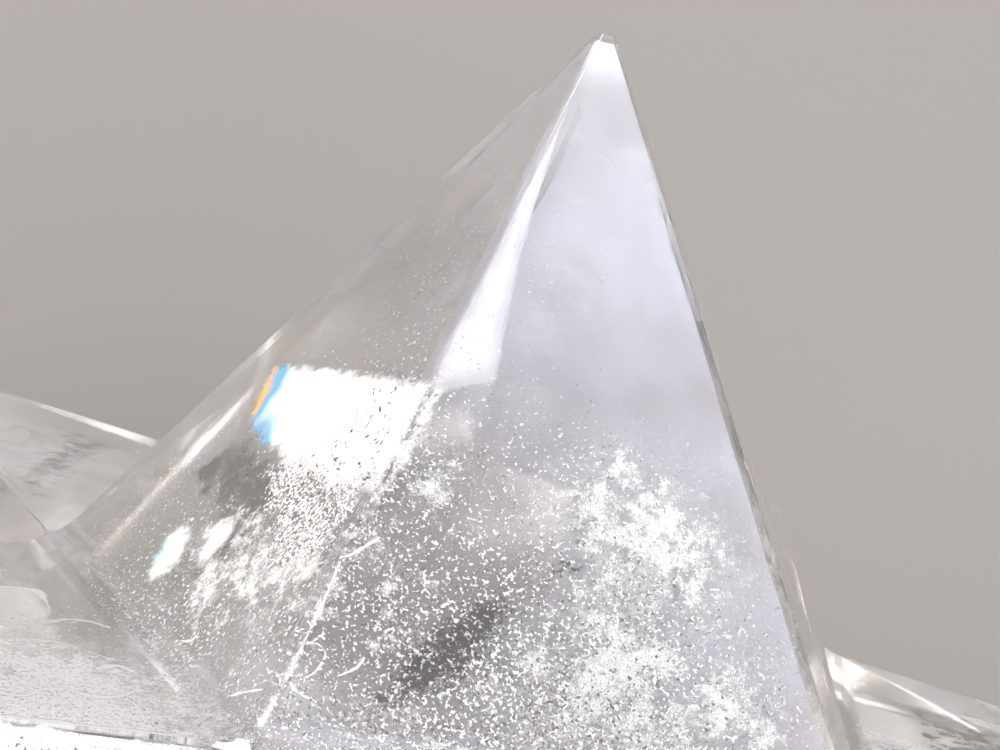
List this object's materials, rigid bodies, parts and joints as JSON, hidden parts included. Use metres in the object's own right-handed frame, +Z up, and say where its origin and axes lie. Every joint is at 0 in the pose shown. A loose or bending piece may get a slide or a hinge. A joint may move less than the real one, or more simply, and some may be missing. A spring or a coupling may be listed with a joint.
{
  "type": "clear quartz star crystal",
  "caption": "Clear quartz star, ground and polished from a single crystal, with five-sided points on every side; a palm-sized mineral ornament that rests on its points.",
  "frame": {"origin": "on the table, under the middle of the star's bounding box", "axes": "+Z up, along the line from one base corner of the star through the opposite one; +X towards one of the side points; +Y away from the picture's camera; the short point leans up and back, 60 degrees round from +X"},
  "size_m": [0.0734, 0.064, 0.0599],
  "materials": {
    "quartz": "polished",
    "milky_veil": "satin",
    "fracture_film": "gloss",
    "dark_grains": "matte"
  },
  "bodies": {
    "root": {"crystal_star": "quartz"}
  },
  "joints": []
}
